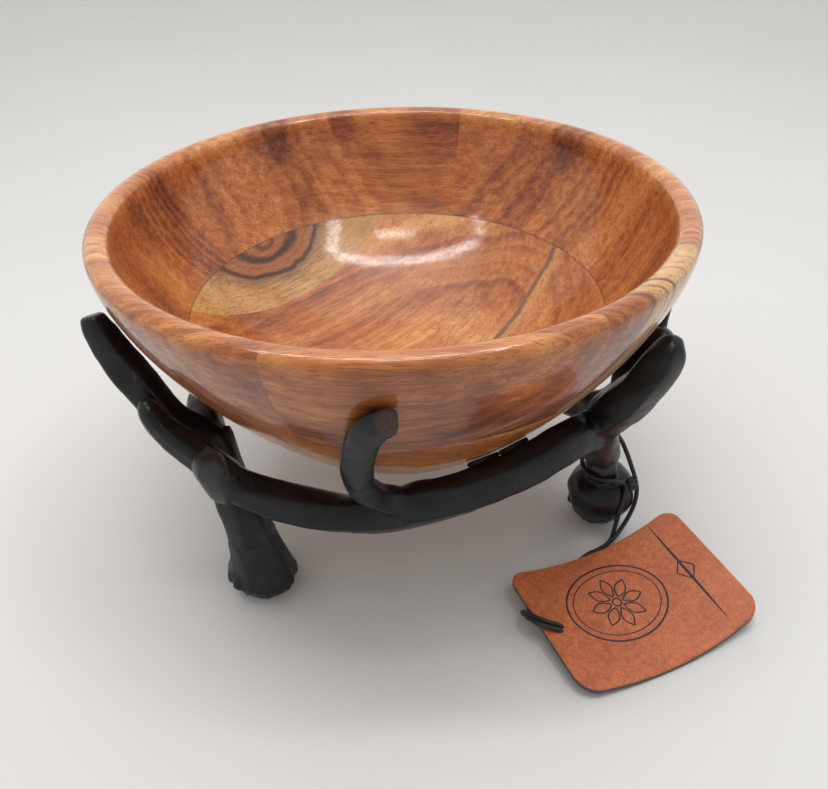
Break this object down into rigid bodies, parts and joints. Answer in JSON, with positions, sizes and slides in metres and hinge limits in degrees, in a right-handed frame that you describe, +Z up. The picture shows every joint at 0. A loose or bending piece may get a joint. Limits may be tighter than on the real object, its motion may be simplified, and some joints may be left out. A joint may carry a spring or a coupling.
{
  "type": "wooden bowl on antler stand",
  "caption": "Round glued hardwood salad bowl resting loose in a black stand of cast antlers, with a leather hang tag on a cord.",
  "frame": {"origin": "on the bowl's axis at the level of the floor the stand rests on", "axes": "+Z up along the bowl's axis; -Y towards the front, where one long beam crosses under the bowl; +X to the right, towards the foot that carries the tag"},
  "size_m": [0.2809, 0.2732, 0.1609],
  "materials": {
    "acacia": "gloss lacquer over red-brown hardwood, straight to wavy grain",
    "sapwood": "gloss lacquer over pale sapwood with a dark figured streak",
    "blackened": "satin black over cast metal, lightly faceted",
    "pad": "matt black",
    "tan_leather": "tan leather with fine grain and dark debossed lines",
    "backing": "dark grey edge and backing",
    "cord": "black waxed cord"
  },
  "bodies": {
    "stand": {"burr_right": "blackened", "leg_right": "blackened", "beam_right": "blackened", "tip_right": "blackened", "brow_tine_right": "blackened", "bowl_tine_right": "blackened", "knuckle_right": "blackened", "pads_right": "pad", "burr_left": "blackened", "leg_left": "blackened", "beam_left": "blackened", "tip_left": "blackened", "brow_tine_left": "blackened", "bowl_tine_left": "blackened", "knuckle_left": "blackened", "pads_left": "pad", "burr_back": "blackened", "leg_back": "blackened", "beam_back": "blackened", "tip_back": "blackened", "spur_back": "blackened", "brow_tine_back": "blackened", "bowl_tine_back": "blackened", "knuckle_back": "blackened", "pads_back": "pad", "tag_face": "tan_leather", "tag_backing": "backing", "cord_inner": "cord", "cord_outer": "cord", "hitch_knot": "cord", "stopper_knot": "cord"},
    "bowl": {"block_back_right": "acacia", "block_back": "acacia", "block_back_left": "acacia", "block_left": "acacia", "block_front_left": "acacia", "block_front_right": "acacia", "plank_left": "sapwood", "plank_middle": "acacia", "plank_right": "acacia"}
  },
  "joints": [
    {"name": "bowl_lift", "type": "slide", "parent": "stand", "child": "bowl", "axis": [0, 0, 1], "range_m": [0, 0.1]}
  ]
}
